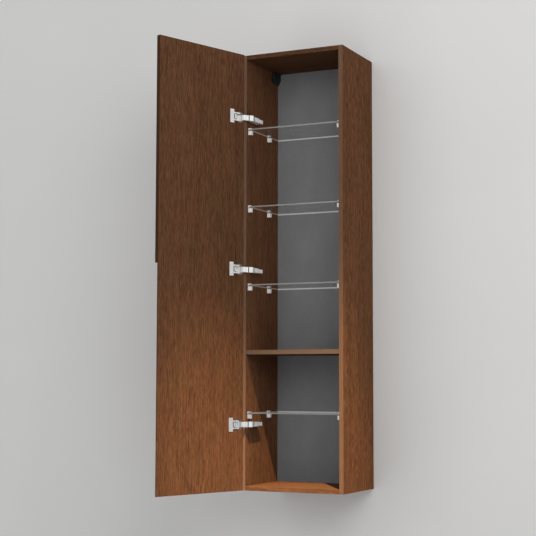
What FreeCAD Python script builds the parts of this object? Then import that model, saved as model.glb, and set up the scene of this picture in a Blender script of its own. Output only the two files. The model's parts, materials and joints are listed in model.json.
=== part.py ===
# Tall wall-hung cabinet with one full-height door on three concealed hinges.
# Frame: origin on the wall, at the middle of the cabinet's bottom rear edge.
# X runs to the right seen from the front, Y into the wall, Z up. Millimetres.
import FreeCAD, Part

import math
import os
import re

import Sketcher

DIMENSIONS = {
    # carcass
    "cabinet_height": 1600,
    "cabinet_width": 400,
    "cabinet_depth": 292,
    "board": 16,
    "back_thickness": 4,
    "back_offset": 14.4,
    "groove_depth": 6,
    "groove_play": 0.1,
    "shelf_inset": 3,
    "shelf_underside": 491,
    # glass shelves and their supports
    "glass_thickness": 5,
    "glass_back_gap": 0.6,
    "glass_front_inset": 15,
    "shelf_below_top_hinge": 40.5,
    "shelf_above_middle_hinge": 232.5,
    "shelf_below_middle_hinge": 56.5,
    "shelf_above_bottom_hinge": 38,
    "support_reach": 13,
    "support_breadth": 12,
    "support_below": 17.5,
    "support_above": 2.5,
    "support_web": 3,
    "support_play": 0.2,
    "support_front": 22,
    "support_back": 107,
    "jaw_reach": 10,
    "peg_radius": 2.5,
    "peg_length": 10,
    "peg_play": 0.05,
    # door
    "door_thickness": 16,
    "door_gap": 2,
    "door_side_reveal": 1,
    "door_overhang": 9,
    "door_end_reveal": 1.5,
    "door_lip": 4,
    "grip_height": 798.5,
    "open_angle": 109.5,
    "open_shift_x": 14.5,
    "open_shift_y": 16,
    # hinges
    "hinge_end_distance": 238,
    "cup_radius": 20,
    "cup_wall": 0.8,
    "cup_depth": 12.6,
    "cup_edge": 1.5,
    "cup_play": 0.05,
    "lug_thickness": 2.3,
    "lug_width": 4,
    "lug_depth": 5,
    "flange_start": 52.5,
    "flange_width": 18.5,
    "flange_height": 50,
    "flange_thickness": 2,
    "rail_gap": 7,
    "rail_width": 5.3,
    "mouth_lip": 1.5,
    "mouth_play": 0.4,
    "frame_slot": 5.5,
    "cup_pivot_along": 6.5,
    "cup_pivot_depth": 2,
    "arm_pivot_reach": 25,
    "pin_radius": 1.2,
    "pin_play": 0.05,
    "pivot_side_play": 0.3,
    "link_thickness": 3.2,
    "link_eye_radius": 2.1,
    "link_root_radius": 2.8,
    "link_bow": 7,
    "shield_step": 0.2,
    "arm_inner_half": 7.9,
    "arm_cheek": 1.9,
    "arm_rear_half": 8.3,
    "arm_tail_half": 6.6,
    "arm_web": 1.6,
    "arm_top": 24,
    "arm_neck_top": 26,
    "arm_foot": 13,
    "arm_nose_radius": 3.2,
    "arm_neck_back": 4,
    "arm_shoulder_back": 10,
    "arm_tail_start": 57,
    "arm_rear": 92,
    "arm_round": 2,
    "arm_groove_front": 25,
    "arm_groove_spacing": 27,
    "arm_groove_width": 3,
    "arm_groove_depth": 0.8,
    "arm_slot_front": 40,
    "arm_slot_spacing": 35,
    "arm_slot_length": 11,
    "arm_slot_width": 6,
    "plate_inset": 5,
    "rib_play": 0.4,
    # hangers and wall plates
    "hanger_depth": 58,
    "hanger_drop": 44,
    "hanger_width": 13,
    "hanger_side_drop": 25,
    "hanger_sole": 3,
    "hook_width": 8,
    "hook_thickness": 3,
    "hook_drop": 14,
    "hook_play": 0.3,
    "wall_plate_width": 40,
    "wall_plate_height": 70,
    "wall_plate_thickness": 2,
    "wall_plate_drop": 8,
    "wall_plate_side_gap": 1,
    "wall_plate_joggle": 4,
    "wall_plate_tongue": 18,
    "wall_hole_radius": 3.25,
    "wall_hole_spacing": 25,
    "wall_hole_low": 12,
}

doc = FreeCAD.newDocument("tall_cabinet")
sheet = doc.addObject("Spreadsheet::Sheet", "sizes")
for row, (alias, value) in enumerate(DIMENSIONS.items(), start=1):
    sheet.set("A%d" % row, alias)
    sheet.set("B%d" % row, str(value))
    sheet.setAlias("B%d" % row, alias)
doc.recompute()

NODES = []
X_AXIS = FreeCAD.Vector(1, 0, 0)
Y_AXIS = FreeCAD.Vector(0, 1, 0)
Z_AXIS = FreeCAD.Vector(0, 0, 1)
TURNS = {
    "x": FreeCAD.Rotation(Y_AXIS, 90),
    "y": FreeCAD.Rotation(X_AXIS, -90),
    "z": FreeCAD.Rotation(),
}


def linked(text):
    """Puts the sheet's name before each alias in an expression."""
    return re.sub(r"[a-z]\w*", lambda word: "sizes." + word[0] if word[0] in DIMENSIONS else word[0], text)


def size(text):
    """Value of an expression in the sheet's aliases."""
    return float(sheet.evalExpression(text))


def bind(obj, prop, text):
    """Ties one property to an expression in the sheet's aliases."""
    obj.setExpression(prop, linked(text))


def place(obj, where, turn=FreeCAD.Rotation()):
    """Turns an object and ties its position to three expressions."""
    obj.Placement = FreeCAD.Placement(FreeCAD.Vector(), turn)
    for axis, text in zip("xyz", where):
        bind(obj, "Placement.Base." + axis, text)
    return obj


def box(name, where, extent):
    """A block from its lowest corner and its lengths along X, Y and Z."""
    block = doc.addObject("Part::Box", name)
    for prop, text in zip(("Length", "Width", "Height"), extent):
        bind(block, prop, text)
    return place(block, where)


def rod(name, where, axis, radius, length):
    """A cylinder from the middle of its first end, along +X, +Y or +Z."""
    cylinder = doc.addObject("Part::Cylinder", name)
    bind(cylinder, "Radius", radius)
    bind(cylinder, "Height", length)
    return place(cylinder, where, TURNS[axis])


def fuse(name, pieces):
    union = doc.addObject("Part::MultiFuse", name)
    union.Shapes = pieces
    return union


def cut(name, base, tools):
    """Base less the tools, which may overlap each other."""
    result = doc.addObject("Part::Cut", name)
    result.Base = base
    result.Tool = tools[0] if len(tools) == 1 else fuse(name + "_tools", tools)
    return result


def group(name, pieces):
    """Identical pieces that share one node."""
    compound = doc.addObject("Part::Compound", name)
    compound.Links = pieces
    return compound


def node(obj, label):
    """Names a finished sub-part, which is then written to its own file."""
    obj.Label = label
    NODES.append(obj)
    return obj


def sketch_on(body, role, name):
    """A sketch on one of the body's own origin planes."""
    sketch = body.newObject("Sketcher::SketchObject", name)
    plane = next(feature for feature in body.Origin.OriginFeatures if feature.Role == role)
    sketch.AttachmentSupport = [(plane, "")]
    sketch.MapMode = "FlatFace"
    return sketch


def pin_point(sketch, geometry, end, x_text, y_text):
    """Holds one sketch point at two expressions, measured from the sketch's origin."""
    for kind, text, axis in (("DistanceX", x_text, -2), ("DistanceY", y_text, -1)):
        if text == "0":
            sketch.addConstraint(Sketcher.Constraint("PointOnObject", geometry, end, axis))
            continue
        index = sketch.addConstraint(Sketcher.Constraint(kind, -1, 1, geometry, end, size(text)))
        bind(sketch, "Constraints[%d]" % index, text)


def outline(sketch, points):
    """A closed outline of straight lines through points given as expressions."""
    corners = [FreeCAD.Vector(size(x_text), size(y_text), 0) for x_text, y_text in points]
    count = len(corners)
    start = sketch.GeometryCount
    for index in range(count):
        sketch.addGeometry(Part.LineSegment(corners[index], corners[(index + 1) % count]), False)
    for index, (x_text, y_text) in enumerate(points):
        following = start + (index + 1) % count
        sketch.addConstraint(Sketcher.Constraint("Coincident", start + index, 2, following, 1))
        pin_point(sketch, start + index, 1, x_text, y_text)


def disc(sketch, x_text, y_text, radius):
    """A circle whose centre and radius are expressions."""
    centre = FreeCAD.Vector(size(x_text), size(y_text), 0)
    index = sketch.addGeometry(Part.Circle(centre, Z_AXIS, size(radius)), False)
    pin_point(sketch, index, 3, x_text, y_text)
    hold = sketch.addConstraint(Sketcher.Constraint("Radius", index, size(radius)))
    bind(sketch, "Constraints[%d]" % hold, radius)


def strip(sketch, start, end, radius):
    """A straight strip with round ends between two points given as expressions."""
    first = FreeCAD.Vector(size(start[0]), size(start[1]), 0)
    last = FreeCAD.Vector(size(end[0]), size(end[1]), 0)
    along = math.atan2(last.y - first.y, last.x - first.x)
    half = size(radius)
    side = FreeCAD.Vector(-math.sin(along), math.cos(along), 0) * half
    quarter = math.pi / 2
    arcs = [(first, along + quarter, along + 3 * quarter), (last, along - quarter, along + quarter)]
    for centre, begin, finish in arcs:
        sketch.addGeometry(Part.ArcOfCircle(Part.Circle(centre, Z_AXIS, half), begin, finish), False)
    sketch.addGeometry(Part.LineSegment(first - side, last - side), False)
    sketch.addGeometry(Part.LineSegment(last + side, first + side), False)
    for arc, arc_end, line, line_end in ((0, 2, 2, 1), (1, 1, 2, 2), (1, 2, 3, 1), (0, 1, 3, 2)):
        sketch.addConstraint(Sketcher.Constraint("Tangent", arc, arc_end, line, line_end))
    pin_point(sketch, 0, 3, *start)
    pin_point(sketch, 1, 3, *end)
    hold = sketch.addConstraint(Sketcher.Constraint("Radius", 0, half))
    bind(sketch, "Constraints[%d]" % hold, radius)


def extrude(body, kind, sketch, length, side_type="One side", reverse=False):
    """A pad or pocket of a sketch; one that changes nothing is an error."""
    before = body.Shape.Volume if body.Tip else 0
    feature = body.newObject("PartDesign::" + kind, sketch.Name + "_" + kind.lower())
    feature.Profile = sketch
    bind(feature, "Length", length)
    feature.SideType = side_type
    feature.Reversed = reverse
    doc.recompute()
    changed = body.Shape.Volume - before
    if changed * (1 if kind == "Pad" else -1) <= 0:
        raise RuntimeError(feature.Name + " changes nothing")
    return feature


# Places that several pieces share

INNER = "(cabinet_width / 2 - board)"
FRONT = "-cabinet_depth"
BACK_FACE = "(back_offset + back_thickness)"
INNER_WIDTH = "(cabinet_width - 2 * board)"
INNER_HEIGHT = "(cabinet_height - 2 * board)"
CEILING = "(cabinet_height - board)"
WALL_PLATE_TOP = "(cabinet_height - board - wall_plate_drop)"
HINGES = {
    "top": "(cabinet_height - hinge_end_distance)",
    "middle": "(cabinet_height / 2)",
    "bottom": "hinge_end_distance",
}
GLASS_UNDERSIDE = {
    1: "(%s - shelf_below_top_hinge)" % HINGES["top"],
    2: "(%s + shelf_above_middle_hinge)" % HINGES["middle"],
    3: "(%s - shelf_below_middle_hinge)" % HINGES["middle"],
    4: "(%s + shelf_above_bottom_hinge)" % HINGES["bottom"],
}
SUPPORT_ROWS = {"front": "(support_front - cabinet_depth)", "rear": "-support_back"}
SIDES = {"left": -1, "right": 1}


def sided(side, text):
    """An X expression on the left or the right of the middle."""
    return "(%d * (%s))" % (SIDES[side], text)


def low_end(side, near, length):
    """Lower X end of a piece that starts `near` from the middle and reaches outwards by `length`."""
    return "(%s)" % near if side == "right" else "(-(%s) - (%s))" % (near, length)


# Carcass

GROOVE_Y = "-(%s + groove_play)" % BACK_FACE
GROOVE_WIDTH = "(back_thickness + 2 * groove_play)"


def side_panel(side):
    """Full-height side, grooved for the back and bored for the shelf supports' pegs."""
    blank = box(side + "_blank", (low_end(side, INNER, "board"), FRONT, "0"),
                ("board", "cabinet_depth", "cabinet_height"))
    groove_place = (low_end(side, INNER, "groove_depth"), GROOVE_Y, "board - groove_depth")
    groove_extent = ("groove_depth", GROOVE_WIDTH, INNER_HEIGHT + " + 2 * groove_depth")
    tools = [box(side + "_groove", groove_place, groove_extent)]
    bore_depth = "peg_length + peg_play"
    for shelf in GLASS_UNDERSIDE:
        for row, row_y in SUPPORT_ROWS.items():
            where = (low_end(side, INNER, bore_depth), row_y, peg_height(shelf))
            name = "%s_peg_bore_%d_%s" % (side, shelf, row)
            tools.append(rod(name, where, "x", "peg_radius + peg_play", bore_depth))
    node(cut(side + "_side", blank, tools), side + "_side_panel")


def end_panel(label, base, groove_base):
    """Top or bottom between the sides, grooved for the back."""
    blank = box(label + "_blank", ("-" + INNER, FRONT, base), (INNER_WIDTH, "cabinet_depth", "board"))
    groove = box(label + "_groove", ("-" + INNER, GROOVE_Y, groove_base),
                 (INNER_WIDTH, GROOVE_WIDTH, "groove_depth"))
    node(cut(label + "_cut", blank, [groove]), label)


def fixed_shelf():
    """Wooden shelf between the sides, just behind the front edges and up to the back."""
    depth = "cabinet_depth - shelf_inset - " + BACK_FACE
    where = ("-" + INNER, "shelf_inset - cabinet_depth", "shelf_underside")
    node(box("shelf_board", where, (INNER_WIDTH, depth, "board")), "fixed_shelf")


def back_panel():
    """Thin back in the grooves, open at its upper corners for the hanger hooks."""
    overlap = "(groove_depth - groove_play)"
    where = ("-%s - %s" % (INNER, overlap), "-" + BACK_FACE, "board - " + overlap)
    extent = (INNER_WIDTH + " + 2 * " + overlap, "back_thickness", INNER_HEIGHT + " + 2 * " + overlap)
    blank = box("back_blank", where, extent)
    notches = []
    length = "hanger_width + groove_depth"
    for side in SIDES:
        corner = (low_end(side, INNER + " - hanger_width", length), GROOVE_Y, WALL_PLATE_TOP + " - hook_play")
        notches.append(box(side + "_hook_notch", corner, (length, GROOVE_WIDTH, "board + hanger_drop")))
    node(cut("back_cut", blank, notches), "back_panel")


# Glass shelves and supports

def peg_height(shelf):
    return "(%s - support_below / 2)" % GLASS_UNDERSIDE[shelf]


def glass_shelf(shelf):
    half = "(%s - support_web - support_play)" % INNER
    depth = "cabinet_depth - glass_front_inset - %s - glass_back_gap" % BACK_FACE
    where = ("-" + half, "glass_front_inset - cabinet_depth", GLASS_UNDERSIDE[shelf])
    extent = ("2 * " + half, depth, "glass_thickness")
    node(box("glass_%d" % shelf, where, extent), "glass_shelf_%d" % shelf)


def support(name, shelf, side, row_y):
    """Metal clamp: block under the glass, jaw over it, peg in the side panel."""
    glass_base = GLASS_UNDERSIDE[shelf]
    foot = glass_base + " - support_below"
    edge = row_y + " - support_breadth / 2"
    block = box(name + "_block", (low_end(side, INNER + " - support_reach", "support_reach"), edge, foot),
                ("support_reach", "support_breadth", "support_below"))
    web_height = "support_below + glass_thickness + support_play + support_above"
    web = box(name + "_web", (low_end(side, INNER + " - support_web", "support_web"), edge, foot),
              ("support_web", "support_breadth", web_height))
    jaw_base = glass_base + " + glass_thickness + support_play"
    jaw = box(name + "_jaw", (low_end(side, INNER + " - jaw_reach", "jaw_reach"), edge, jaw_base),
              ("jaw_reach", "support_breadth", "support_above"))
    peg = rod(name + "_peg", (low_end(side, INNER, "peg_length"), row_y, peg_height(shelf)), "x",
              "peg_radius", "peg_length")
    return fuse(name, [block, web, jaw, peg])


def supports(shelf):
    pieces = []
    for side in SIDES:
        for row, row_y in SUPPORT_ROWS.items():
            pieces.append(support("support_%d_%s_%s" % (shelf, side, row), shelf, side, row_y))
    node(group("supports_%d" % shelf, pieces), "shelf_supports_%d" % shelf)


# Door. Its own frame starts at the lower inner corner on the hinge side:
# X runs along the width, and the inner face lies at Y = 0.

DOOR_WIDTH = "(cabinet_width - door_side_reveal + door_overhang)"
OPEN_CORNER = (
    "door_side_reveal + open_shift_x - cabinet_width / 2",
    "-cabinet_depth - door_gap - open_shift_y",
    "door_end_reveal",
)
OPEN_TURN = FreeCAD.Rotation(Z_AXIS, -size("open_angle"))
CUP_CENTRE = "(cup_edge + cup_radius)"
ARM_OUTER = "(arm_inner_half + arm_cheek)"
ARM_TAIL_INNER = "(arm_tail_half - arm_cheek)"
MOUTH_HALF = "(%s + mouth_play)" % ARM_OUTER


def on_door(obj, label):
    """Names a piece of the door and hangs it in the open position."""
    return node(place(obj, OPEN_CORNER, OPEN_TURN), label)


def door_height(hinge):
    return "(%s - door_end_reveal)" % HINGES[hinge]


def door_panel():
    """Door leaf with three cup bores and a bevelled grip along the lower half of the free edge."""
    body = doc.addObject("PartDesign::Body", "door_body")
    leaf = sketch_on(body, "XY_Plane", "door_leaf")
    outline(leaf, [("0", "0"), ("0", "-door_thickness"), (DOOR_WIDTH, "-door_thickness"), (DOOR_WIDTH, "0")])
    extrude(body, "Pad", leaf, "cabinet_height - 2 * door_end_reveal")
    grip = sketch_on(body, "XY_Plane", "door_grip")
    bevel_end = DOOR_WIDTH + " - (door_thickness - door_lip)"
    outline(grip, [
        (DOOR_WIDTH, "-door_lip"),
        (DOOR_WIDTH, "-door_thickness"),
        (bevel_end, "-door_thickness"),
    ])
    extrude(body, "Pocket", grip, "grip_height", reverse=True)
    bores = sketch_on(body, "XZ_Plane", "cup_bores")
    for hinge in HINGES:
        disc(bores, CUP_CENTRE, door_height(hinge), "cup_radius + cup_play")
    extrude(body, "Pocket", bores, "cup_depth + cup_play", reverse=True)
    on_door(body, "door_panel")


def hinge_cup(hinge):
    """Cup let into the door: two lugs with a pin in them, and a flange plate that frames the cup's mouth."""
    middle = door_height(hinge)
    name = hinge + "_cup"
    outer = rod(name + "_outer", (CUP_CENTRE, "-cup_depth", middle), "y", "cup_radius", "cup_depth")
    hollow = rod(name + "_hollow", (CUP_CENTRE, "cup_wall - cup_depth", middle), "y",
                 "cup_radius - cup_wall", "cup_depth")
    bowl = cut(name + "_bowl", outer, [hollow])
    lugs = []
    for lug, rise in (("upper", " + arm_inner_half"), ("lower", " - arm_inner_half - lug_thickness")):
        where = ("cup_pivot_along - lug_width / 2", "-lug_depth", middle + rise)
        lugs.append(box("%s_%s_lug" % (name, lug), where, ("lug_width", "lug_depth", "lug_thickness")))
    bar = box(name + "_bar", ("flange_start", "0", middle + " - flange_height / 2"),
              ("flange_width", "flange_thickness", "flange_height"))
    rail_start = "(board - door_side_reveal + rail_gap)"
    frame_half = "(%s + rail_width)" % MOUTH_HALF
    tongue = box(name + "_tongue", (rail_start, "0", "%s - %s" % (middle, frame_half)),
                 ("flange_start - " + rail_start, "flange_thickness", "2 * " + frame_half))
    openings = (
        ("mouth", rail_start, "%s + cup_radius - mouth_lip - %s" % (CUP_CENTRE, rail_start)),
        ("slot", "flange_start - frame_slot", "frame_slot"),
    )
    windows = []
    for window, start, length in openings:
        windows.append(box("%s_%s" % (name, window), (start, "0", "%s - %s" % (middle, MOUTH_HALF)),
                           (length, "flange_thickness", "2 * " + MOUTH_HALF)))
    frame = cut(name + "_frame", tongue, windows)
    pin_half = "(arm_inner_half + pin_radius)"
    pin_foot = ("cup_pivot_along", "-cup_pivot_depth", middle + " - " + pin_half)
    pin = rod(name + "_pin", pin_foot, "z", "pin_radius", "2 * " + pin_half)
    on_door(fuse(name, [bowl, bar, frame, pin] + lugs), hinge + "_hinge_cup")


# Hinge links and arms. The arm's frame starts where the side panel's inner face meets the front plane:
# X runs off the side panel, Y into the cabinet.

ARM_CORNER = ("-" + INNER, FRONT)


def door_point(corner, angle, along, depth):
    """Plan position of a point of the door, at a door direction in degrees."""
    run = FreeCAD.Vector(math.cos(math.radians(angle)), math.sin(math.radians(angle)), 0)
    inward = FreeCAD.Vector(-run.y, run.x, 0)
    return corner + run * along - inward * depth


def hinge_plan():
    """Plan positions of the arm pivot, the open cup pivot and the link's knee.

    The arm pivot lies as far from the cup pivot with the door open as it does with the door closed.
    """
    turn = size("open_angle")
    opened = FreeCAD.Vector(size(OPEN_CORNER[0]), size(OPEN_CORNER[1]), 0)
    closed = opened - FreeCAD.Vector(size("open_shift_x"), -size("open_shift_y"), 0)
    travel = opened - closed
    side_step = FreeCAD.Vector(travel.y, -travel.x, 0) * (0.5 / math.tan(math.radians(turn / 2)))
    centre = (opened + closed) * 0.5 + side_step
    along = size("cup_pivot_along")
    depth = size("cup_pivot_depth")
    cup_open = door_point(opened, -turn, along, depth)
    cup_closed = door_point(closed, 0, along, depth)
    bisector = ((cup_open + cup_closed) * 0.5 - centre).normalize()
    arm_pivot = centre + bisector * size("arm_pivot_reach")
    knee = door_point(opened, -turn, along, depth - size("link_bow"))
    return arm_pivot, cup_open, knee


ARM_PIVOT, CUP_PIVOT, LINK_KNEE = hinge_plan()
LINK_LINE = CUP_PIVOT - ARM_PIVOT
LINK_TURN = FreeCAD.Rotation(Z_AXIS, math.degrees(math.atan2(LINK_LINE.y, LINK_LINE.x)))
KNEE_LOCAL = LINK_TURN.inverted().multVec(LINK_KNEE - ARM_PIVOT)
SHIELD_LOCAL = KNEE_LOCAL * (size("arm_nose_radius + link_thickness * 2 / 3") / KNEE_LOCAL.Length)
SHIELD_SIDE = FreeCAD.Vector(-KNEE_LOCAL.y, KNEE_LOCAL.x, 0).normalize() * size("link_thickness / 2")
SHIELD_CORNERS = (
    SHIELD_LOCAL - SHIELD_SIDE,
    KNEE_LOCAL - SHIELD_SIDE,
    KNEE_LOCAL + SHIELD_SIDE,
    SHIELD_LOCAL + SHIELD_SIDE,
)
PIVOT_OFF_SIDE = repr(ARM_PIVOT.x + size(INNER))
PIVOT_BEHIND_FRONT = repr(ARM_PIVOT.y + size("cabinet_depth"))
NECK_START = FreeCAD.Vector(ARM_PIVOT.x + size(INNER), ARM_PIVOT.y + size("cabinet_depth"), 0)
NECK_END = FreeCAD.Vector(size("arm_neck_top - arm_nose_radius"), size("arm_neck_back"), 0)
NECK_RUN = (NECK_END - NECK_START).normalize()
NECK_OUTWARD = FreeCAD.Vector(NECK_RUN.y, -NECK_RUN.x, 0)
NECK_COVER = NECK_OUTWARD * size("arm_nose_radius - arm_web")
NECK_MOUTH = NECK_START + NECK_RUN * size("link_root_radius + pivot_side_play")


def hinge_link(hinge):
    """Bow-shaped link from the arm's pin to the cup's pin, widest where it rounds the door's edge."""
    body = doc.addObject("PartDesign::Body", hinge + "_link_body")
    knee = (repr(KNEE_LOCAL.x), repr(KNEE_LOCAL.y))
    reach = repr(LINK_LINE.Length)
    height = "2 * (arm_inner_half - pivot_side_play)"
    for limb_name, start, end in (("root_limb", ("0", "0"), knee), ("cup_limb", knee, (reach, "0"))):
        limb = sketch_on(body, "XY_Plane", "%s_%s" % (hinge, limb_name))
        strip(limb, start, end, "link_thickness / 2")
        extrude(body, "Pad", limb, height, "Symmetric")
    shield = sketch_on(body, "XY_Plane", hinge + "_shield")
    outline(shield, [(repr(corner.x), repr(corner.y)) for corner in SHIELD_CORNERS])
    extrude(body, "Pad", shield, "2 * (%s - shield_step)" % ARM_OUTER, "Symmetric")
    eyes = (("root_eye", "0", "link_root_radius"), ("cup_eye", reach, "link_eye_radius"))
    for eye_name, along, radius in eyes:
        eye = sketch_on(body, "XY_Plane", "%s_%s" % (hinge, eye_name))
        disc(eye, along, "0", radius)
        extrude(body, "Pad", eye, height, "Symmetric")
    bores = sketch_on(body, "XY_Plane", hinge + "_link_bores")
    for along in ("0", reach):
        disc(bores, along, "0", "pin_radius + pin_play")
    extrude(body, "Pocket", bores, height, "Symmetric")
    place(body, (repr(ARM_PIVOT.x), repr(ARM_PIVOT.y), HINGES[hinge]), LINK_TURN)
    node(body, hinge + "_hinge_link")


def hinge_arm(hinge):
    """Channel-section arm: a stout head that carries the link's pin, a grooved foot and a slimmer tail."""
    body = doc.addObject("PartDesign::Body", hinge + "_arm_body")
    height = "2 * " + ARM_OUTER
    head_wall = "arm_shoulder_back - 2 * arm_web"
    neck = sketch_on(body, "XY_Plane", hinge + "_arm_neck")
    neck_end = ("arm_neck_top - arm_nose_radius", "arm_neck_back")
    strip(neck, (PIVOT_OFF_SIDE, PIVOT_BEHIND_FRONT), neck_end, "arm_nose_radius")
    extrude(body, "Pad", neck, height, "Symmetric")
    head = sketch_on(body, "XY_Plane", hinge + "_arm_head")
    outline(head, [
        ("arm_foot", "arm_shoulder_back"),
        ("arm_neck_top - 2 * arm_nose_radius", "arm_neck_back"),
        ("arm_neck_top", "arm_neck_back"),
        ("arm_neck_top", "arm_shoulder_back"),
    ])
    extrude(body, "Pad", head, height, "Symmetric")
    foot = sketch_on(body, "XY_Plane", hinge + "_arm_foot")
    outline(foot, [
        ("arm_foot", "arm_shoulder_back"),
        ("arm_top", "arm_shoulder_back"),
        ("arm_top", "arm_tail_start"),
        ("arm_foot", "arm_tail_start"),
    ])
    extrude(body, "Pad", foot, "2 * arm_rear_half", "Symmetric")
    tail = sketch_on(body, "XY_Plane", hinge + "_arm_tail")
    outline(tail, [
        ("arm_foot", "arm_tail_start"),
        ("arm_top", "arm_tail_start"),
        ("arm_top", "arm_rear - arm_round"),
        ("arm_top - arm_round", "arm_rear"),
        ("arm_foot", "arm_rear"),
    ])
    extrude(body, "Pad", tail, "2 * arm_tail_half", "Symmetric")
    clear = "arm_rear"
    hollow = sketch_on(body, "XY_Plane", hinge + "_arm_hollow")
    cover = (NECK_MOUTH + NECK_OUTWARD * size(clear), NECK_MOUTH + NECK_COVER, NECK_END + NECK_COVER)
    outline(hollow, [("-" + clear, "-" + clear)] + [(repr(point.x), repr(point.y)) for point in cover] + [
        ("arm_neck_top - arm_web", "arm_neck_back"),
        ("arm_neck_top - arm_web", head_wall),
        ("-" + clear, head_wall),
    ])
    extrude(body, "Pocket", hollow, "2 * arm_inner_half", "Symmetric")
    channels = (
        ("foot_channel", "arm_tail_start - arm_web", "arm_rear_half - arm_cheek"),
        ("tail_channel", "2 * arm_rear", ARM_TAIL_INNER),
    )
    for channel_name, end, half_height in channels:
        channel = sketch_on(body, "XY_Plane", "%s_arm_%s" % (hinge, channel_name))
        outline(channel, [
            ("0", "arm_shoulder_back"),
            ("arm_top - arm_web", "arm_shoulder_back"),
            ("arm_top - arm_web", end),
            ("0", end),
        ])
        extrude(body, "Pocket", channel, "2 * (%s)" % half_height, "Symmetric")
    grooves = sketch_on(body, "XY_Plane", hinge + "_arm_grooves")
    groove_base = "arm_top - arm_groove_depth"
    for index in range(2):
        start = "arm_groove_front + %d * arm_groove_spacing" % index
        end = start + " + arm_groove_width"
        outline(grooves, [
            (groove_base, start),
            ("2 * arm_top", start),
            ("2 * arm_top", end),
            (groove_base, end),
        ])
    extrude(body, "Pocket", grooves, height, "Symmetric")
    pin = sketch_on(body, "XY_Plane", hinge + "_arm_pin")
    disc(pin, PIVOT_OFF_SIDE, PIVOT_BEHIND_FRONT, "pin_radius")
    extrude(body, "Pad", pin, "2 * arm_inner_half + arm_web", "Symmetric")
    slots = sketch_on(body, "YZ_Plane", hinge + "_arm_slots")
    half_width = "arm_slot_width / 2"
    for index in range(2):
        start = "arm_slot_front + %d * arm_slot_spacing - arm_slot_length / 2" % index
        end = start + " + arm_slot_length"
        outline(slots, [
            (start, "-" + half_width),
            (end, "-" + half_width),
            (end, half_width),
            (start, half_width),
        ])
    extrude(body, "Pocket", slots, "2 * arm_neck_top", "Symmetric")
    place(body, ARM_CORNER + (HINGES[hinge],))
    node(body, hinge + "_hinge_arm")


def mounting_plate(hinge):
    """Plate on the side panel, with a rib that fills the channel of the arm's tail."""
    body = doc.addObject("PartDesign::Body", hinge + "_plate_body")
    section = sketch_on(body, "XZ_Plane", hinge + "_plate_section")
    rib_top = "arm_top - arm_web - rib_play"
    rib_half = "(%s - rib_play)" % ARM_TAIL_INNER
    outline(section, [
        ("0", "-arm_tail_half"),
        ("arm_foot", "-arm_tail_half"),
        ("arm_foot", "-" + rib_half),
        (rib_top, "-" + rib_half),
        (rib_top, rib_half),
        ("arm_foot", rib_half),
        ("arm_foot", "arm_tail_half"),
        ("0", "arm_tail_half"),
    ])
    extrude(body, "Pad", section, "arm_rear - arm_shoulder_back - 2 * plate_inset")
    place(body, ("-" + INNER, FRONT + " + arm_rear - plate_inset", HINGES[hinge]))
    node(body, hinge + "_mounting_plate")


# Hangers and wall plates

def hanger_housing(side):
    """Moulded cover in the upper rear corner, its underside sloping down to the side panel."""
    body = doc.addObject("PartDesign::Body", side + "_housing_body")
    section = sketch_on(body, "XZ_Plane", side + "_housing_section")
    room_side = sided(side, INNER + " - hanger_width")
    underside = CEILING + " - hanger_drop"
    outline(section, [
        (sided(side, INNER), CEILING),
        (room_side, CEILING),
        (room_side, CEILING + " - hanger_side_drop"),
        (sided(side, INNER + " - hanger_sole"), underside),
        (sided(side, INNER), underside),
    ])
    extrude(body, "Pad", section, "hanger_depth")
    place(body, ("0", "-" + BACK_FACE, "0"))
    node(body, side + "_hanger_housing")


def hanger_hook(side):
    """Steel hook that leaves the housing through the back and drops behind the wall plate's tongue."""
    body = doc.addObject("PartDesign::Body", side + "_hook_body")
    profile = sketch_on(body, "YZ_Plane", side + "_hook_profile")
    tip_rear = "-hook_play"
    tip_front = "(hook_play - wall_plate_joggle)"
    outline(profile, [
        ("-" + BACK_FACE, WALL_PLATE_TOP),
        ("-" + BACK_FACE, WALL_PLATE_TOP + " + hook_thickness"),
        (tip_rear, WALL_PLATE_TOP + " + hook_thickness"),
        (tip_rear, WALL_PLATE_TOP + " - hook_drop"),
        (tip_front, WALL_PLATE_TOP + " - hook_drop"),
        (tip_front, WALL_PLATE_TOP),
    ])
    extrude(body, "Pad", profile, "hook_width")
    near = INNER + " - hanger_width / 2 - hook_width / 2"
    place(body, (low_end(side, near, "hook_width"), "0", "0"))
    node(body, side + "_hanger_hook")


def wall_plate(side):
    """Joggled steel plate screwed to the wall; the hook hangs on its raised tongue."""
    body = doc.addObject("PartDesign::Body", side + "_wall_plate_body")
    profile = sketch_on(body, "YZ_Plane", side + "_wall_plate_profile")
    bend = "(%s - wall_plate_tongue)" % WALL_PLATE_TOP
    base = "(%s - wall_plate_height)" % WALL_PLATE_TOP
    front = "-(wall_plate_joggle + wall_plate_thickness)"
    outline(profile, [
        ("0", base),
        ("0", bend + " - wall_plate_joggle"),
        ("-wall_plate_joggle", bend),
        ("-wall_plate_joggle", WALL_PLATE_TOP),
        (front, WALL_PLATE_TOP),
        (front, bend),
        ("-wall_plate_thickness", bend + " - wall_plate_joggle"),
        ("-wall_plate_thickness", base),
    ])
    extrude(body, "Pad", profile, "wall_plate_width")
    holes = sketch_on(body, "XZ_Plane", side + "_wall_holes")
    for index in range(2):
        height = base + " + wall_hole_low + %d * wall_hole_spacing" % index
        disc(holes, "wall_plate_width / 2", height, "wall_hole_radius")
    extrude(body, "Pocket", holes, "2 * wall_plate_thickness", reverse=True)
    near = INNER + " - wall_plate_side_gap - wall_plate_width"
    place(body, (low_end(side, near, "wall_plate_width"), "0", "0"))
    node(body, side + "_wall_plate")


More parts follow.
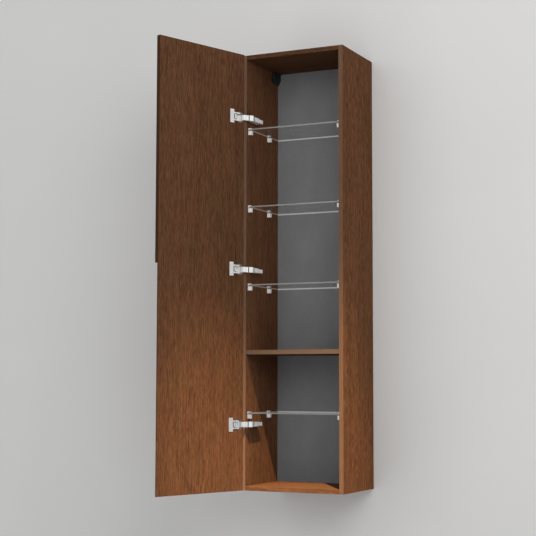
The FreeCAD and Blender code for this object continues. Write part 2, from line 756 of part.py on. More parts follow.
def build():
    for side in SIDES:
        side_panel(side)
    end_panel("top_panel", CEILING, CEILING)
    end_panel("bottom_panel", "0", "board - groove_depth")
    fixed_shelf()
    back_panel()
    for shelf in GLASS_UNDERSIDE:
        glass_shelf(shelf)
        supports(shelf)
    door_panel()
    for hinge in HINGES:
        hinge_cup(hinge)
        hinge_link(hinge)
        hinge_arm(hinge)
        mounting_plate(hinge)
    for side in SIDES:
        hanger_housing(side)
        hanger_hook(side)
        wall_plate(side)
    doc.recompute()


def check():
    """Stops before anything is written if any object failed."""
    for obj in doc.Objects:
        if "Invalid" in obj.State or "Error" in obj.State:
            raise RuntimeError("%s failed: %s" % (obj.Name, obj.State))
    for obj in NODES:
        if obj.Shape.isNull() or not obj.Shape.isValid() or not obj.Shape.Solids:
            raise RuntimeError(obj.Label + " has no valid solid")


def export():
    os.makedirs("parts", exist_ok=True)
    for obj in NODES:
        obj.Shape.exportStep("parts/%s.step" % obj.Label)


build()
check()
export()
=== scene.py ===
import json
import math

import bmesh
import bpy
from mathutils import Euler, Matrix, Vector


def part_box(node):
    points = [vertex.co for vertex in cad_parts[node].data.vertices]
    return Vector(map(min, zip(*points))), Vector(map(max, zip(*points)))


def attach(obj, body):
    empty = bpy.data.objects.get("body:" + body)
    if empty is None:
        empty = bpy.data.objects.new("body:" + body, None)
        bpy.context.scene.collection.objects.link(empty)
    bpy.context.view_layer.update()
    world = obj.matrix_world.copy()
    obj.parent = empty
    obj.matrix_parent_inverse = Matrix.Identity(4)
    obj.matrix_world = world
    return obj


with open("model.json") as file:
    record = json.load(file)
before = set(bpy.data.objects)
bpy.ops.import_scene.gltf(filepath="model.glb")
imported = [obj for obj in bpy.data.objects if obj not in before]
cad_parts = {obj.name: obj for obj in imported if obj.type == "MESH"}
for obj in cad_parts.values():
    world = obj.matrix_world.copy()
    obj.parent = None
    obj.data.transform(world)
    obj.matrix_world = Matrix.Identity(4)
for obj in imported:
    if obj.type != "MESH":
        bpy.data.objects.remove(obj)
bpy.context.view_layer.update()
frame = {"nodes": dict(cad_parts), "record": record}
nodes = frame["nodes"]
subparts = frame["record"]["subparts"]
scene = bpy.context.scene
MM = 0.001

# Directions in the frame of the cabinet
FRONTWARD = Vector((0, -1, 0))
UPWARD = Vector((0, 0, 1))
RIGHTWARD = Vector((1, 0, 0))

# The open door: the hinge-side corner of its inner face, its turn, and the ways along and off that face
DOOR_CORNER = Vector((-184.5, -310, 1.5)) * MM
DOOR_TURN = math.radians(-109.5)
DOOR_RUN = Vector((math.cos(DOOR_TURN), math.sin(DOOR_TURN), 0))
DOOR_NORMAL = Vector((-math.sin(DOOR_TURN), math.cos(DOOR_TURN), 0))

# Carcass and shelves
FRONT = -292 * MM
SIDE_INNER = -184 * MM
SIDES = ("left", "right")
PANELS = ("left_side_panel", "right_side_panel", "top_panel", "bottom_panel", "fixed_shelf", "door_panel")
GLASS_SHELVES = (1, 2, 3, 4)
GLASS_HALF = 180.8 * MM
GLASS_REAR = -19 * MM
# Height of the painted shade band at the top of each shelf clamp, under the glass
CLAMP_SHADE_BAND = 2.6 * MM
HANGER_SCREW_DROPS = {"upper": 9 * MM, "lower": 20 * MM}

# Hinges
HINGE_HEIGHTS = {"top": 1362 * MM, "middle": 800 * MM, "bottom": 238 * MM}
HINGE_SPACING = 562 * MM
BRIDGE_MIDDLE = 43.5 * MM
FLANGE_THICKNESS = 2 * MM
CUP_SCREW_SPACING = 19.2 * MM
CUP_MOUTH_HALF = 10.2 * MM
PLATE_RIB_TOP = 22 * MM
ARM_SLOT_BACK = {"front": 40 * MM, "rear": 75 * MM}
# Where each painted shade line across a hinge arm, for the shade in its joints and grooves, starts behind
# the carcass front, and its width
ARM_SHADE_LINES = {"pivot": (-11 * MM, 3 * MM), "shoulder": (12.5 * MM, 6 * MM),
             "front groove": (25 * MM, 3 * MM), "rear groove": (52 * MM, 3 * MM)}


# Materials

# Sockets of a Mix node that mixes colours
MIX_SHARE, MIX_FIRST, MIX_SECOND, MIX_COLOUR = 0, 6, 7, 2
# The span that most of a noise lies in, and the span of a share
NOISE_SPAN = (0.3, 0.7)
SHARE_SPAN = (0.0, 1.0)


def linear(red, green, blue):
    """An sRGB colour in 0 to 255 as linear RGBA."""
    channels = []
    for value in (red, green, blue):
        share = value / 255
        channels.append(share / 12.92 if share <= 0.04045 else ((share + 0.055) / 1.055) ** 2.4)
    return (*channels, 1.0)


def lifted(tone, painted_light_lift):
    """A linear colour made lighter or darker, by one factor or one for each channel."""
    factors = painted_light_lift if isinstance(painted_light_lift, tuple) else (painted_light_lift, painted_light_lift, painted_light_lift)
    return (*(channel * factor for channel, factor in zip(tone, factors)), 1.0)


class Graph:
    """A material's node tree, with short ways to add and join nodes."""

    def __init__(self, name):
        self.material = bpy.data.materials.new(name)
        self.material.use_nodes = True
        self.tree = self.material.node_tree
        self.shader = self.tree.nodes["Principled BSDF"]

    def node(self, kind, inputs=None, **settings):
        made = self.tree.nodes.new("ShaderNode" + kind)
        for key, value in settings.items():
            setattr(made, key, value)
        for key, value in (inputs or {}).items():
            self.feed(made.inputs[key], value)
        return made

    def feed(self, socket, value):
        """Sets a socket to a constant, or joins it to another node's output."""
        if isinstance(value, bpy.types.NodeSocket):
            self.tree.links.new(value, socket)
        else:
            socket.default_value = value

    def shade(self, **inputs):
        """Feeds the shader's sockets, named in small letters with underscores."""
        for key, value in inputs.items():
            self.feed(self.shader.inputs[key.replace("_", " ").title().replace("Ior", "IOR")], value)

    def math(self, operation, first, second=0.0):
        made = self.node("Math", {0: first, 1: second}, operation=operation)
        return made.outputs[0]

    def weigh(self, *pairs):
        """The sum of values times their weights."""
        shares = [self.math("MULTIPLY", value, weight) for value, weight in pairs]
        total = shares[0]
        for share in shares[1:]:
            total = self.math("ADD", total, share)
        return total

    def mix(self, share, first, second):
        """A colour between two others."""
        inputs = {MIX_SHARE: share, MIX_FIRST: first, MIX_SECOND: second}
        return self.node("Mix", inputs, data_type="RGBA").outputs[MIX_COLOUR]

    def remap(self, value, span, onto=SHARE_SPAN):
        """A value's place in one span, taken to another and kept within it."""
        made = self.node("MapRange", {0: value, 1: span[0], 2: span[1], 3: onto[0], 4: onto[1]})
        return made.outputs[0]

    def noise(self, vector, scale, detail=2.0, roughness=0.5, distortion=0.0):
        inputs = {"Vector": vector, "Scale": scale, "Detail": detail, "Roughness": roughness,
                  "Distortion": distortion}
        return self.node("TexNoise", inputs).outputs[0]

    def dot(self, vector, direction):
        made = self.node("VectorMath", {0: vector, 1: direction}, operation="DOT_PRODUCT")
        return made.outputs["Value"]

    def own_place(self):
        """The piece's own coordinates, in metres."""
        return self.node("TexCoord").outputs["Object"]

    def own_axis(self, axis):
        """One of the piece's own coordinates."""
        return self.node("SeparateXYZ", {0: self.own_place()}).outputs[axis]

    def place(self, stretch=(1, 1, 1)):
        """The piece's own coordinates, stretched."""
        return self.node("Mapping", {"Vector": self.own_place(), "Scale": stretch}).outputs[0]

    def facing(self, direction):
        """How far the piece's own normal points along a direction."""
        return self.dot(self.node("TexCoord").outputs["Normal"], direction)

    def bump(self, height, strength, distance):
        made = self.node("Bump", {"Height": height, "Strength": strength, "Distance": distance})
        self.feed(self.shader.inputs["Normal"], made.outputs[0])


VENEER_DARK = linear(74, 49, 34)
VENEER_RED = linear(102, 66, 47)
VENEER_OLIVE = linear(97, 68, 46)
VENEER_LIGHT = linear(124, 87, 62)
PORE_TONE = linear(62, 39, 25)
# Front edges: the edge band's lighter, greyer tone, with a painted sheen and painted light from the front
RIGHT_EDGE_BAND_SHEEN_TONE = linear(119, 93, 74)
LEFT_EDGE_BAND_SHEEN_TONE = linear(134, 110, 94)
SHELF_EDGE_BAND_SHEEN_TONE = linear(110, 93, 82)
# The door's free edge in painted shade
FREE_EDGE_SHADE_TONE = linear(58, 37, 24)

# Layers of the veneer: stretch along the grain, then the noise's scale, detail, roughness and distortion
VENEER_LAYERS = {
    "mottle": (2.5, 16, 3, 0.55, 0.3),
    "bands": (12, 24, 2, 0.5, 0.2),
    "streaks": (10, 150, 2, 0.55, 0.0),
    "flecks": (7, 300, 3, 0.6, 0.0),
    "fibres": (22, 620, 3, 0.6, 0.0),
    "pores": (16, 1300, 2, 0.5, 0.0),
}
# How the layers make the figure, and how far from its middle the wood is at its darkest and lightest
BANDS_WEIGHT, STREAKS_WEIGHT, FLECKS_WEIGHT = 0.14, 0.36, 0.50
FIGURE_MIDDLE, DARKEST, LIGHTEST = 0.51, 0.13, 0.15
LIGHT_MOST = 0.8
MOTTLE_SPAN = (0.38, 0.62)
FIBRE_SPAN, FIBRE_MOST = (0.35, 0.7), 0.22
PORE_SPAN, PORE_MOST = (0.58, 0.72), 0.6
# Where a face's own tone starts to show as the face turns towards a direction, and how much of it shows:
# a painted sheen on the front edges' lighter edge band, painted shade on the door's free edge
FACING_SPAN, FACING_MOST = (0.8, 0.95), 0.75
LACQUER_ROUGHNESS = (0.58, 0.48)
LACQUER_SPECULAR = 0.015
FIBRE_RELIEF = 0.5


def veneer(name, grain, painted_light_lift=1.0, facing_tone=None, facing_direction=FRONTWARD, figure=1.0):
    """Dark stained veneer: a mottled figure, flecks and pores along the grain, under a satin lacquer."""
    graph = Graph(name)
    layers = {}
    for layer, (stretch, *noise) in VENEER_LAYERS.items():
        scale = [1.0, 1.0, 1.0]
        scale["XYZ".index(grain)] = 1 / stretch
        layers[layer] = graph.noise(graph.place(scale), *noise)
    dark = lifted(VENEER_DARK, painted_light_lift)
    light = lifted(VENEER_LIGHT, painted_light_lift)
    mottle = graph.remap(layers["mottle"], MOTTLE_SPAN)
    ground = graph.mix(mottle, lifted(VENEER_RED, painted_light_lift), lifted(VENEER_OLIVE, painted_light_lift))
    tone = graph.weigh((layers["bands"], BANDS_WEIGHT), (layers["streaks"], STREAKS_WEIGHT),
                       (layers["flecks"], FLECKS_WEIGHT))
    dark_share = graph.remap(tone, (FIGURE_MIDDLE, FIGURE_MIDDLE - DARKEST / figure))
    light_share = graph.remap(tone, (FIGURE_MIDDLE, FIGURE_MIDDLE + LIGHTEST / figure), (0.0, LIGHT_MOST))
    colour = graph.mix(light_share, graph.mix(dark_share, ground, dark), light)
    colour = graph.mix(graph.remap(layers["fibres"], FIBRE_SPAN, (0.0, FIBRE_MOST)), colour, light)
    pore_share = graph.math("MULTIPLY", graph.remap(layers["pores"], PORE_SPAN), PORE_MOST)
    colour = graph.mix(pore_share, colour, lifted(PORE_TONE, painted_light_lift))
    # Painted light: faces turned towards the given direction take their own tone, a painted sheen on
    # front edges and painted shade on the door's free edge
    if facing_tone:
        facing_share = graph.remap(graph.facing(facing_direction), FACING_SPAN)
        colour = graph.mix(graph.math("MULTIPLY", facing_share, FACING_MOST), colour, facing_tone)
    graph.shade(base_color=colour, specular_ior_level=LACQUER_SPECULAR,
                roughness=graph.remap(layers["flecks"], NOISE_SPAN, LACQUER_ROUGHNESS))
    relief = graph.math("SUBTRACT", graph.math("MULTIPLY", layers["fibres"], FIBRE_RELIEF), pore_share)
    graph.bump(relief, strength=0.35, distance=0.12 * MM)
    return graph.material


LAMINATE_TONES = (linear(128, 130, 132), linear(145, 147, 149))
LAMINATE_SPAN = (0.36, 0.64)
LAMINATE_ROUGHNESS = (0.38, 0.52)
SPECKLE_WEIGHT, CLOUD_WEIGHT = 0.65, 0.35


def back_laminate():
    """Plain grey laminate with a faint speckle and an orange-peel gloss."""
    graph = Graph("back_laminate")
    speckle = graph.noise(graph.place(), scale=420, detail=3, roughness=0.6)
    cloud = graph.noise(graph.place(stretch=(1, 1, 0.6)), scale=14, detail=3, roughness=0.55)
    tone = graph.weigh((speckle, SPECKLE_WEIGHT), (cloud, CLOUD_WEIGHT))
    graph.shade(base_color=graph.mix(graph.remap(tone, LAMINATE_SPAN), *LAMINATE_TONES),
                roughness=graph.remap(speckle, NOISE_SPAN, LAMINATE_ROUGHNESS))
    graph.bump(speckle, strength=0.12, distance=0.1 * MM)
    return graph.material


GLASS_TONE = linear(206, 218, 213)
GROUND_TONES = (linear(172, 175, 171), linear(194, 197, 193))
GLASS_END_TONE = linear(186, 164, 138)
GLASS_PAINTED_GLOW_TONE = linear(222, 228, 226)
# How far a face points up or down where a ground edge starts to show and where it is full
GROUND_SPAN = (0.75, 0.55)
# How far in from the glass's rear and ends their own tones start and are full
GROUND_DEPTHS = (1.6 * MM, 0.8 * MM)
# From the front edge to the rear one: how strongly its painted glow shines, and how much it hides
GROUND_PAINTED_GLOW = (0.05, 0.3)
GROUND_ALPHA = (0.45, 0.7)
GLASS_END_PAINTED_GLOW = 0.3
GLASS_ALPHA = 0.05
GLASS_ROUGHNESS = (0.03, 0.5)
GLASS_IOR = 1.5


def shelf_glass():
    """Clear float glass; its narrow ground edges are pale and carry a painted glow, the rear one most."""
    graph = Graph("shelf_glass")
    edge = graph.remap(graph.math("ABSOLUTE", graph.facing(UPWARD)), GROUND_SPAN)
    rear = graph.remap(graph.own_axis("Y"), [GLASS_REAR - depth for depth in GROUND_DEPTHS])
    end = graph.remap(graph.math("ABSOLUTE", graph.own_axis("X")),
                      [GLASS_HALF - depth for depth in GROUND_DEPTHS])
    grind = graph.noise(graph.place(stretch=(1, 1, 3)), scale=1600, detail=2, roughness=0.6)
    edge_tone = graph.mix(end, graph.mix(grind, *GROUND_TONES), GLASS_END_TONE)
    # Painted glow: the ground edges give off light of their own, the rear edge most and the ends less
    painted_glow_share = graph.math("MAXIMUM", rear, graph.math("MULTIPLY", end, GLASS_END_PAINTED_GLOW))
    painted_glow = graph.math("MULTIPLY", edge, graph.remap(painted_glow_share, SHARE_SPAN, GROUND_PAINTED_GLOW))
    edge_alpha = graph.math("MULTIPLY", edge, graph.remap(rear, SHARE_SPAN, GROUND_ALPHA))
    graph.shade(base_color=graph.mix(edge, GLASS_TONE, edge_tone),
                roughness=graph.remap(edge, SHARE_SPAN, GLASS_ROUGHNESS),
                alpha=graph.math("ADD", GLASS_ALPHA, edge_alpha), ior=GLASS_IOR,
                emission_color=GLASS_PAINTED_GLOW_TONE, emission_strength=painted_glow)
    return graph.material


# How far off the door's face the painted shade in a cup's bowl starts and is full, and how softly it
# fades beside its mouth
BOWL_SHADE_DEPTHS = (0.3 * MM, 0.1 * MM)
BOWL_SHADE_BLUR = 0.3 * MM
# The share of a painted shade line's width that is fully dark
LINE_CORE = 0.9


def cup_bowl_shade(graph):
    """1 deep in a hinge cup above and below its mouth, where the bowl is drawn in painted shade."""
    door_face = DOOR_CORNER.dot(DOOR_NORMAL)
    inward = graph.dot(graph.own_place(), DOOR_NORMAL)
    sunk = graph.remap(inward, [door_face + depth for depth in BOWL_SHADE_DEPTHS])
    from_hinge = graph.math("SUBTRACT", graph.own_axis("Z"), HINGE_HEIGHTS["bottom"])
    half = HINGE_SPACING / 2
    offset = graph.node("Math", {0: from_hinge, 1: half, 2: -half}, operation="WRAP").outputs[0]
    aside = graph.remap(graph.math("ABSOLUTE", offset), (CUP_MOUTH_HALF, CUP_MOUTH_HALF + BOWL_SHADE_BLUR))
    return graph.math("MULTIPLY", sunk, aside)


def lines(graph, axis, places):
    """1 within narrow lines across an axis, given as pairs of start and width."""
    along = graph.own_axis(axis)
    share = 0.0
    for start, width in places:
        half = width / 2
        reach = graph.math("ABSOLUTE", graph.math("SUBTRACT", along, start + half))
        share = graph.math("MAXIMUM", share, graph.remap(reach, (half, LINE_CORE * half)))
    return share


def clamp_gap_shade(graph):
    """1 on a painted shade band where the gap between a shelf clamp's block and the glass lies in shade.
    """
    undersides = [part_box("glass_shelf_%d" % shelf)[0].z for shelf in GLASS_SHELVES]
    return lines(graph, "Z", [(underside - CLAMP_SHADE_BAND, CLAMP_SHADE_BAND) for underside in undersides])


def arm_groove_shade(graph):
    """1 on the painted shade lines at the joints and narrow grooves across a hinge arm."""
    return lines(graph, "Y", [(FRONT + back, width) for back, width in ARM_SHADE_LINES.values()])


MARKS_SPAN = (0.25, 0.75)
ROUGHNESS_DRIFT = 0.05
PLATING_METALLIC = 0.12
PAINTED_SHADE_TONE = linear(58, 52, 48)


def plated(name, tones, roughness, brush, bump, painted_shade=None, painted_shade_tone=PAINTED_SHADE_TONE):
    """Satin plating with a soft drift of tone and faint drawing marks, and painted shade where a given
    mask is 1.
    """
    graph = Graph(name)
    drift = graph.noise(graph.place(), scale=60, detail=3, roughness=0.5)
    marks = graph.noise(graph.place(brush), scale=1200, detail=3, roughness=0.6)
    colour = graph.mix(graph.remap(drift, NOISE_SPAN), *tones)
    # Painted shade: lines and hollows drawn in a dark tone
    if painted_shade:
        colour = graph.mix(painted_shade(graph), colour, painted_shade_tone)
    rough_span = (roughness - ROUGHNESS_DRIFT, roughness + ROUGHNESS_DRIFT)
    graph.shade(base_color=colour, metallic=PLATING_METALLIC,
                roughness=graph.remap(marks, MARKS_SPAN, rough_span))
    graph.bump(marks, strength=bump, distance=0.05 * MM)
    return graph.material


ZINC_SPANGLE = 420.0
ZINC_ROUGHNESS = (0.34, 0.5)


def zinc_steel(name, dark, light):
    """Zinc-plated sheet: a fine mottled spangle over grey metal."""
    graph = Graph(name)
    cells = graph.node("TexVoronoi", {"Vector": graph.place(), "Scale": ZINC_SPANGLE}).outputs["Color"]
    shade = graph.node("SeparateColor", {0: cells}).outputs[0]
    graph.shade(base_color=graph.mix(shade, dark, light), metallic=1.0,
                roughness=graph.remap(shade, SHARE_SPAN, ZINC_ROUGHNESS))
    return graph.material


PLASTIC_TONES = (linear(14, 14, 15), linear(24, 24, 25))
PLASTIC_ROUGHNESS = (0.45, 0.62)


def black_plastic():
    """Black moulding with a fine spark-eroded grain."""
    graph = Graph("black_plastic")
    grain = graph.noise(graph.place(), scale=1400, detail=2, roughness=0.5)
    graph.shade(base_color=graph.mix(grain, *PLASTIC_TONES),
                roughness=graph.remap(grain, NOISE_SPAN, PLASTIC_ROUGHNESS))
    graph.bump(grain, strength=0.3, distance=0.2 * MM)
    return graph.material


NICKEL_TONES = (linear(244, 244, 244), linear(254, 254, 254))
CUP_TONES = (linear(228, 228, 228), linear(240, 240, 240))
# The painted shade in a hinge cup's bowl
BOWL_SHADE_TONE = linear(130, 127, 124)
SATIN_TONES = (linear(240, 240, 239), linear(253, 253, 252))
# Roughness, stretch of the drawing marks and strength of their bump
NICKEL_FINISH = (0.36, (1, 1, 8), 0.08)
SATIN_FINISH = (0.42, (1, 1, 1), 0.06)
cup_nickel = plated("nickel_cup", CUP_TONES, *NICKEL_FINISH, cup_bowl_shade, BOWL_SHADE_TONE)
arm_nickel = plated("nickel_arm", NICKEL_TONES, *NICKEL_FINISH, arm_groove_shade)
dark_zinc = zinc_steel("zinc_steel_dark", linear(70, 71, 73), linear(92, 93, 95))
SLOT_MATERIALS = {
    "veneer": veneer("veneer_door", "Z", facing_tone=FREE_EDGE_SHADE_TONE, facing_direction=DOOR_RUN),
    "back_laminate": back_laminate(),
    "shelf_glass": shelf_glass(),
    "black_plastic": black_plastic(),
    "zinc_steel": zinc_steel("zinc_steel", linear(176, 180, 184), linear(204, 206, 208)),
    "satin_metal": plated("satin_metal", SATIN_TONES, *SATIN_FINISH, clamp_gap_shade),
    "nickel": plated("nickel", NICKEL_TONES, *NICKEL_FINISH),
}
# Painted light and shade: the lift makes each panel's veneer lighter or darker, and the right one warmer,
# for how light falls on it: the left and bottom panels lighter, the top one darker
NODE_MATERIALS = {
    "left_side_panel": veneer("veneer_left", "Z", painted_light_lift=1.22, facing_tone=LEFT_EDGE_BAND_SHEEN_TONE),
    "right_side_panel": veneer("veneer_right", "Z", painted_light_lift=(1.05, 0.97, 0.83), facing_tone=RIGHT_EDGE_BAND_SHEEN_TONE,
                               figure=1.8),
    "top_panel": veneer("veneer_top", "X", painted_light_lift=0.8),
    "bottom_panel": veneer("veneer_bottom", "X", painted_light_lift=1.25),
    "fixed_shelf": veneer("veneer_shelf", "X", facing_tone=SHELF_EDGE_BAND_SHEEN_TONE),
}
for hinge in HINGE_HEIGHTS:
    NODE_MATERIALS[hinge + "_hinge_cup"] = cup_nickel
    NODE_MATERIALS[hinge + "_hinge_arm"] = arm_nickel

for row in subparts:
    finish = NODE_MATERIALS.get(row["node"], SLOT_MATERIALS[row["material_slot"]])
    mesh = nodes[row["node"]].data
    mesh.materials.clear()
    mesh.materials.append(finish)


# Softened arrises

PANEL_ARRIS = 0.6 * MM
GLASS_ARRIS = 0.5 * MM
PLASTIC_ARRIS = 1.2 * MM
STEEL_ARRIS = 0.4 * MM
ARRIS_SEGMENTS = 2
SHARP_ANGLE = math.radians(35)
WELD_DISTANCE = 1e-6


def soften(name, width):
    """Rounds a solid's sharp edges a little, over its own unchanged mesh."""
    weld = nodes[name].modifiers.new("weld", "WELD")
    weld.merge_threshold = WELD_DISTANCE
    bevel = nodes[name].modifiers.new("arris", "BEVEL")
    bevel.width = width
    bevel.segments = ARRIS_SEGMENTS
    bevel.limit_method = "ANGLE"
    bevel.angle_limit = SHARP_ANGLE


for name in PANELS:
    soften(name, PANEL_ARRIS)
for shelf in GLASS_SHELVES:
    soften("glass_shelf_%d" % shelf, GLASS_ARRIS)
    nodes["glass_shelf_%d" % shelf].visible_shadow = False
    soften("shelf_supports_%d" % shelf, STEEL_ARRIS)
for side in SIDES:
    soften(side + "_hanger_housing", PLASTIC_ARRIS)
    soften(side + "_hanger_hook", STEEL_ARRIS)


# Screws

HEAD_SEGMENTS = 32
DOME_STEPS = 6
RIM_SHARE = 0.35
SEAT_SINK = 0.2
SEAT_TAPER = 0.96
CROSS_ARMS = 2
CUP_SCREW_TURN = 0.4
ARM_SCREW_TURN = 0.3


def revolve(profile, segments):
    """A mesh turned round Z from radius and height pairs."""
    made = bmesh.new()
    rings = []
    for radius, height in profile:
        ring = []
        for step in range(segments):
            angle = 2 * math.pi * step / segments
            ring.append(made.verts.new((radius * math.cos(angle), radius * math.sin(angle), height)))
        rings.append(ring)
    for lower, upper in zip(rings, rings[1:]):
        for step in range(segments):
            after = (step + 1) % segments
            made.faces.new((lower[step], lower[after], upper[after], upper[step]))
    made.faces.new(list(reversed(rings[0])))
    made.faces.new(rings[-1])
    return made


def blank(name, body):
    """A scratch object that holds a built mesh."""
    mesh = bpy.data.meshes.new(name)
    body.to_mesh(mesh)
    body.free()
    made = bpy.data.objects.new(name + "_blank", mesh)
    scene.collection.objects.link(made)
    return made


def screw_mesh(name, finish, radius, height, slot_length, slot_width, slot_depth):
    """A domed screw head with a crossed slot, its seat at Z = 0."""
    rim = RIM_SHARE * height
    profile = [(SEAT_TAPER * radius, -SEAT_SINK * height), (radius, 0.0), (radius, rim)]
    for step in range(1, DOME_STEPS):
        angle = 0.5 * math.pi * step / DOME_STEPS
        profile.append((radius * math.cos(angle), rim + (height - rim) * math.sin(angle)))
    head = blank(name, revolve(profile, HEAD_SEGMENTS))
    cutters = []
    for arm in range(CROSS_ARMS):
        body = bmesh.new()
        turn = Matrix.Rotation(arm * math.pi / CROSS_ARMS, 3, "Z")
        bmesh.ops.create_cube(body, size=1.0)
        bmesh.ops.scale(body, vec=(slot_length, slot_width, 2 * slot_depth), verts=body.verts)
        bmesh.ops.rotate(body, matrix=turn, verts=body.verts)
        bmesh.ops.translate(body, vec=(0, 0, height), verts=body.verts)
        cutters.append(blank("%s_cutter_%d" % (name, arm), body))
        recess = head.modifiers.new("recess_%d" % arm, "BOOLEAN")
        recess.operation = "DIFFERENCE"
        recess.object = cutters[-1]
    bpy.context.view_layer.update()
    evaluated = head.evaluated_get(bpy.context.evaluated_depsgraph_get())
    finished = bpy.data.meshes.new_from_object(evaluated)
    finished.name = name
    finished.materials.append(finish)
    for leftover in [head, *cutters]:
        bpy.data.objects.remove(leftover)
    return finished


def screw(name, mesh, seat, direction, body, turn=0.0):
    """Sets one screw on its seat, its head towards a direction."""
    piece = bpy.data.objects.new(name, mesh)
    scene.collection.objects.link(piece)
    aim = direction.to_track_quat("Z", "Y").to_matrix().to_4x4()
    piece.matrix_world = Matrix.Translation(seat) @ aim @ Matrix.Rotation(turn, 4, "Z")
    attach(piece, body)


def on_door(along, inward, height):
    """A point of the open door: along its width, off its inner face, and above the cabinet's base."""
    turned = Matrix.Rotation(DOOR_TURN, 3, "Z") @ Vector((along, inward, 0))
    return Vector((DOOR_CORNER.x + turned.x, DOOR_CORNER.y + turned.y, height))


cup_screw_mesh = screw_mesh("cup_screw_head", dark_zinc, radius=2.3 * MM, height=1.1 * MM,
                            slot_length=2.9 * MM, slot_width=0.7 * MM, slot_depth=0.7 * MM)
arm_screw_mesh = screw_mesh("arm_screw_head", SLOT_MATERIALS["nickel"], radius=2.8 * MM, height=2.4 * MM,
                            slot_length=4.0 * MM, slot_width=0.8 * MM, slot_depth=1.1 * MM)
hanger_screw_mesh = screw_mesh("hanger_screw_head", dark_zinc, radius=3.4 * MM, height=1.4 * MM,
                               slot_length=4.4 * MM, slot_width=1.0 * MM, slot_depth=0.9 * MM)

for hinge, height in HINGE_HEIGHTS.items():
    for place_name, sign in (("upper", 1), ("lower", -1)):
        seat = on_door(BRIDGE_MIDDLE, FLANGE_THICKNESS, height + sign * CUP_SCREW_SPACING / 2)
        name = "%s_cup_screw_%s" % (hinge, place_name)
        screw(name, cup_screw_mesh, seat, DOOR_NORMAL, "door", CUP_SCREW_TURN * sign)
    for place_name, back in ARM_SLOT_BACK.items():
        seat = Vector((SIDE_INNER + PLATE_RIB_TOP, FRONT + back, height))
        name = "%s_arm_screw_%s" % (hinge, place_name)
        screw(name, arm_screw_mesh, seat, RIGHTWARD, "carcass", ARM_SCREW_TURN)

for side in SIDES:
    low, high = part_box(side + "_hanger_housing")
    for place_name, drop in HANGER_SCREW_DROPS.items():
        seat = Vector(((low.x + high.x) / 2, low.y, high.z - drop))
        name = "%s_hanger_screw_%s" % (side, place_name)
        screw(name, hanger_screw_mesh, seat, FRONTWARD, "carcass")


# Stage: a pale floor, and a wall that is clear from behind and open where the cabinet covers it,
# so that the cabinet's back is seen and lit

FLOOR_HEIGHT = -0.32
STAGE_REACH = 12.0
WALL_GAP = 0.5 * MM
OPENING_LOW = (-195 * MM, 5 * MM)
OPENING_HIGH = (195 * MM, 1595 * MM)
PLASTER_TONES = (linear(232, 232, 232), linear(236, 236, 236))
PLASTER_ROUGHNESS = 0.9
PLASTER_SPECULAR = 0.1


def rectangle(low, high):
    """The corners of a rectangle, given by two opposite ones, in turn."""
    return [(low[0], low[1]), (high[0], low[1]), (high[0], high[1]), (low[0], high[1])]


def flat(name, corners, faces, finish):
    """A flat piece of the stage."""
    mesh = bpy.data.meshes.new(name)
    mesh.from_pydata(corners, [], faces)
    piece = bpy.data.objects.new(name, mesh)
    scene.collection.objects.link(piece)
    piece.data.materials.append(finish)


def pale_plaster(name, front_only):
    """Pale plaster with a faint cloud, clear from behind where it is wanted."""
    graph = Graph(name)
    cloud = graph.noise(graph.place(), scale=1.3, detail=3, roughness=0.5)
    graph.shade(base_color=graph.mix(graph.remap(cloud, NOISE_SPAN), *PLASTER_TONES),
                roughness=PLASTER_ROUGHNESS, specular_ior_level=PLASTER_SPECULAR)
    if front_only:
        behind = graph.node("NewGeometry").outputs["Backfacing"]
        clear = graph.node("BsdfTransparent").outputs[0]
        choice = graph.node("MixShader", {0: behind, 1: graph.shader.outputs[0], 2: clear})
        output = graph.tree.nodes["Material Output"]
        graph.feed(output.inputs["Surface"], choice.outputs[0])
    return graph.material


floor_outline = rectangle((-STAGE_REACH, -STAGE_REACH), (STAGE_REACH, STAGE_REACH))
flat("floor", [(x, y, FLOOR_HEIGHT) for x, y in floor_outline], [(0, 1, 2, 3)],
     pale_plaster("floor_paint", False))
wall_outline = rectangle((-STAGE_REACH, FLOOR_HEIGHT), (STAGE_REACH, STAGE_REACH))
wall_outline += rectangle(OPENING_LOW, OPENING_HIGH)
flat("wall", [(x, WALL_GAP, z) for x, z in wall_outline],
     [(0, 1, 5, 4), (1, 2, 6, 5), (2, 3, 7, 6), (3, 0, 4, 7)], pale_plaster("wall_paint", True))


# Light: an even pale room, a broad soft lamp in front, a second one like it for the bright metal alone,
# and a warm lamp for the lower half of the wood, whose light doesn't bounce on to the grey back

AMBIENT = 0.68
SOFT_PLACE = Vector((1.9, -2.9, 1.9))
SOFT_TARGET = Vector((0, -0.3, 0.8))
SOFT_SIZE = 2.0
SOFT_WATTS, SOFT_TINT = 24, (1.0, 0.98, 0.95)
METAL_WATTS, METAL_TINT = 26, (1.0, 1.0, 1.0)
WARM_FROM = Vector((0.69, -1.0, 1.8)).normalized()
WARM_DISTANCE = 9
SHELF_FRONT = Vector((0, -0.289, 0.491))
WARM_TARGET = Vector((-0.02, -0.37, -0.22))
WARM_WATTS, WARM_TINT = 8900, (1.0, 0.72, 0.40)
WARM_CONE = math.radians(8)
WARM_RADIUS = 0.08

world = bpy.data.worlds.new("pale_room")
scene.world = world
world.use_nodes = True
background = world.node_tree.nodes["Background"]
background.inputs["Color"].default_value = (1.0, 1.0, 1.0, 1.0)
background.inputs["Strength"].default_value = AMBIENT


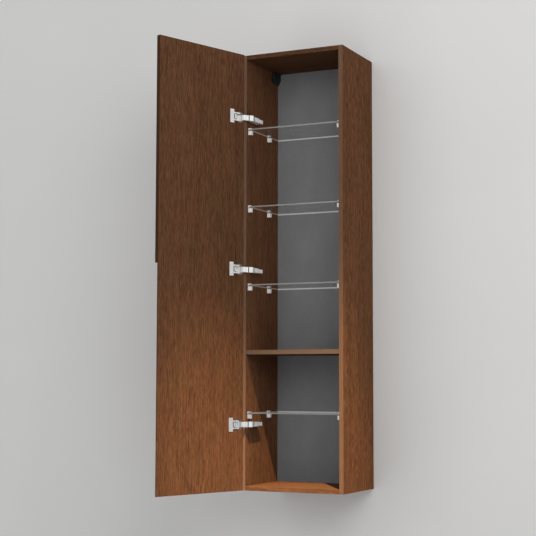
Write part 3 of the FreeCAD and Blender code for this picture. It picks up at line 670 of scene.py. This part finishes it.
def lamp(name, kind, place, target, watts, tint):
    """A lamp aimed at a point."""
    data = bpy.data.lights.new(name, kind)
    data.energy = watts
    data.color = tint
    made = bpy.data.objects.new(name, data)
    made.location = place
    made.rotation_euler = (target - place).to_track_quat("-Z", "Y").to_euler()
    scene.collection.objects.link(made)
    return made


def soft_lamp(name, watts, tint):
    """A broad round lamp in front of the cabinet, to the right."""
    made = lamp(name, "AREA", SOFT_PLACE, SOFT_TARGET, watts, tint)
    made.data.shape = "DISK"
    made.data.size = SOFT_SIZE
    return made


def light_only(light, name, slots):
    """Keeps a lamp's own light to the nodes of some material slots."""
    receivers = bpy.data.collections.new(name)
    for row in subparts:
        if row["material_slot"] in slots:
            receivers.objects.link(nodes[row["node"]])
    light.light_linking.receiver_collection = receivers


soft_lamp("soft_front", SOFT_WATTS, SOFT_TINT)
bright_metal = soft_lamp("soft_metal", METAL_WATTS, METAL_TINT)
light_only(bright_metal, "metalwork", ("nickel", "satin_metal"))
warm_place = SHELF_FRONT + WARM_DISTANCE * WARM_FROM
warm = lamp("warm_low", "SPOT", warm_place, WARM_TARGET, WARM_WATTS, WARM_TINT)
warm.data.spot_size = WARM_CONE
warm.data.spot_blend = 1.0
warm.data.shadow_soft_size = WARM_RADIUS
warm.data.cycles.max_bounces = 0
light_only(warm, "woodwork", ("veneer",))


# Camera at the photograph's place

FRAME_PIXELS = 536
FOCAL_PIXELS = 1325.74
SENSOR_WIDTH = 36.0
CAMERA_PLACE = Vector((1.98271, -4.6234, 0.38501))
CAMERA_YAW = math.radians(25.621)
CAMERA_PITCH = math.radians(4.988)
CAMERA_ROLL = math.radians(0.13)
camera_data = bpy.data.cameras.new("camera")
camera_data.sensor_width = SENSOR_WIDTH
camera_data.lens = FOCAL_PIXELS / FRAME_PIXELS * SENSOR_WIDTH
camera = bpy.data.objects.new("camera", camera_data)
level = Euler((math.pi / 2 + CAMERA_PITCH, 0, CAMERA_YAW)).to_matrix()
aim = level @ Matrix.Rotation(CAMERA_ROLL, 3, "Z")
camera.matrix_world = Matrix.Translation(CAMERA_PLACE) @ aim.to_4x4()
scene.collection.objects.link(camera)
scene.camera = camera
scene.view_settings.view_transform = "Standard"
